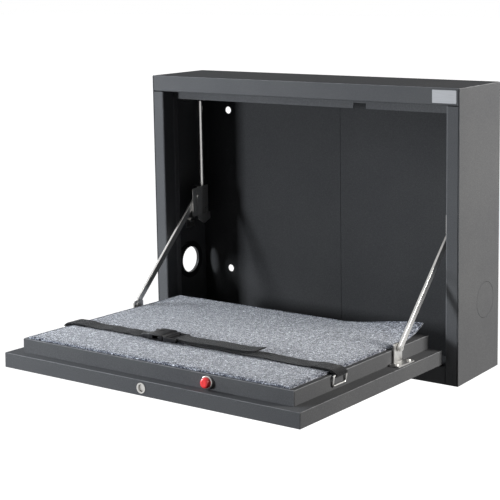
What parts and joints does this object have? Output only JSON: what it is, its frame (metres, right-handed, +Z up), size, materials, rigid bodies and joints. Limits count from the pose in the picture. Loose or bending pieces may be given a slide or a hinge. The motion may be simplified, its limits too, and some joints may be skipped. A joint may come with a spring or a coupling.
{
  "type": "laptop security cabinet",
  "caption": "Shallow wall cabinet whose hinged front drops flat on two sliding stays to carry a felt-lined tray with a strap.",
  "frame": {"origin": "centre of the rectangle of four wall holes, on the back's outer face", "axes": "+X to the object's right seen from the front, +Y into the wall (the back's outward normal), +Z up; the door drops towards -Y"},
  "size_m": [0.5095, 0.4599, 0.394],
  "materials": {
    "paint": "dark charcoal powder coat with a fine texture, satin",
    "nickel": "bright nickel-plated steel",
    "plate": "blank dark grey plate, satin",
    "black_plastic": "moulded black plastic, fine grain",
    "felt": "speckled blue-grey needle felt",
    "webbing": "black woven polyester webbing",
    "red_plastic": "glossy red plastic"
  },
  "bodies": {
    "cabinet": {"top_panel": "paint", "bottom_panel": "paint", "left_side_panel": "paint", "right_side_panel": "paint", "left_back_panel": "paint", "right_back_panel": "paint", "header": "paint", "left_stile": "paint", "right_stile": "paint", "bottom_rail": "paint", "blank_plate": "plate", "cable_grommet": "black_plastic", "knockout_disc": "paint", "hinge_rail_leaf": "paint", "hinge_pin": "nickel", "left_stay_rod": "nickel", "right_stay_rod": "nickel", "left_rod_top_bracket": "nickel", "right_rod_top_bracket": "nickel", "left_rod_foot_bracket": "nickel", "right_rod_foot_bracket": "nickel", "rod_bracket_nuts": "nickel"},
    "door": {"hinge_door_leaf": "paint", "door_pan": "paint", "tray": "paint", "rear_felt": "felt", "front_felt": "felt", "left_door_bracket": "nickel", "right_door_bracket": "nickel", "door_bracket_screws": "nickel", "left_lower_rivet": "nickel", "right_lower_rivet": "nickel", "bolt_guide": "nickel", "lock_cylinder": "nickel", "lock_nut": "nickel", "button_barrel": "nickel", "button_nut": "nickel", "button_spring": "nickel", "left_strap_ring": "nickel", "right_strap_ring": "nickel", "left_strap": "webbing", "right_strap": "webbing", "strap_tail": "webbing", "buckle_socket": "black_plastic", "buckle_tongue": "black_plastic"},
    "left_slider": {"left_slider_block": "black_plastic", "left_slider_clevis": "nickel", "left_upper_rivet": "nickel"},
    "right_slider": {"right_slider_block": "black_plastic", "right_slider_clevis": "nickel", "right_upper_rivet": "nickel"},
    "left_arm": {"left_stay_arm": "nickel"},
    "right_arm": {"right_stay_arm": "nickel"},
    "lock_barrel": {"lock_plug": "nickel", "lock_cam": "nickel"},
    "bolt": {"lock_bolt": "nickel"},
    "button": {"button_cap": "red_plastic"}
  },
  "joints": [
    {"name": "door_hinge", "type": "hinge", "parent": "cabinet", "child": "door", "pos_m": [0, -0.119, -0.1825], "axis": [-1, 0, 0], "range_deg": [0, 88.28]},
    {"name": "left_slide", "type": "slide", "parent": "cabinet", "child": "left_slider", "axis": [0, 0, 1], "range_m": [0, 0.113]},
    {"name": "right_slide", "type": "slide", "parent": "cabinet", "child": "right_slider", "axis": [0, 0, 1], "range_m": [0, 0.113]},
    {"name": "left_arm_pivot", "type": "hinge", "parent": "door", "child": "left_arm", "pos_m": [-0.2184, -0.21076, -0.13973], "axis": [1, 0, 0], "range_deg": [0, 131.2]},
    {"name": "right_arm_pivot", "type": "hinge", "parent": "door", "child": "right_arm", "pos_m": [0.2184, -0.21076, -0.13973], "axis": [1, 0, 0], "range_deg": [0, 131.2]},
    {"name": "lock_turn", "type": "hinge", "parent": "door", "child": "lock_barrel", "pos_m": [0.024, -0.43686, -0.17295], "axis": [0, 0.03, 0.9995], "range_deg": [0, 90]},
    {"name": "bolt_slide", "type": "slide", "parent": "door", "child": "bolt", "axis": [0, -0.9995, 0.03], "range_m": [0, 0.01]},
    {"name": "button_press", "type": "slide", "parent": "door", "child": "button", "axis": [0, 0.9995, -0.03], "range_m": [0, 0.003], "stiffness_N_per_m": 400, "springref_m": -0.004}
  ],
  "couplings": [
    {"joint": "left_slide", "follows": "door_hinge", "m_per_rad": 0.073202},
    {"joint": "right_slide", "follows": "door_hinge", "m_per_rad": 0.073202},
    {"joint": "left_arm_pivot", "follows": "door_hinge", "ratio": 1.4845},
    {"joint": "right_arm_pivot", "follows": "door_hinge", "ratio": 1.4845},
    {"joint": "lock_turn", "follows": "bolt_slide", "rad_per_m": 157.08}
  ]
}
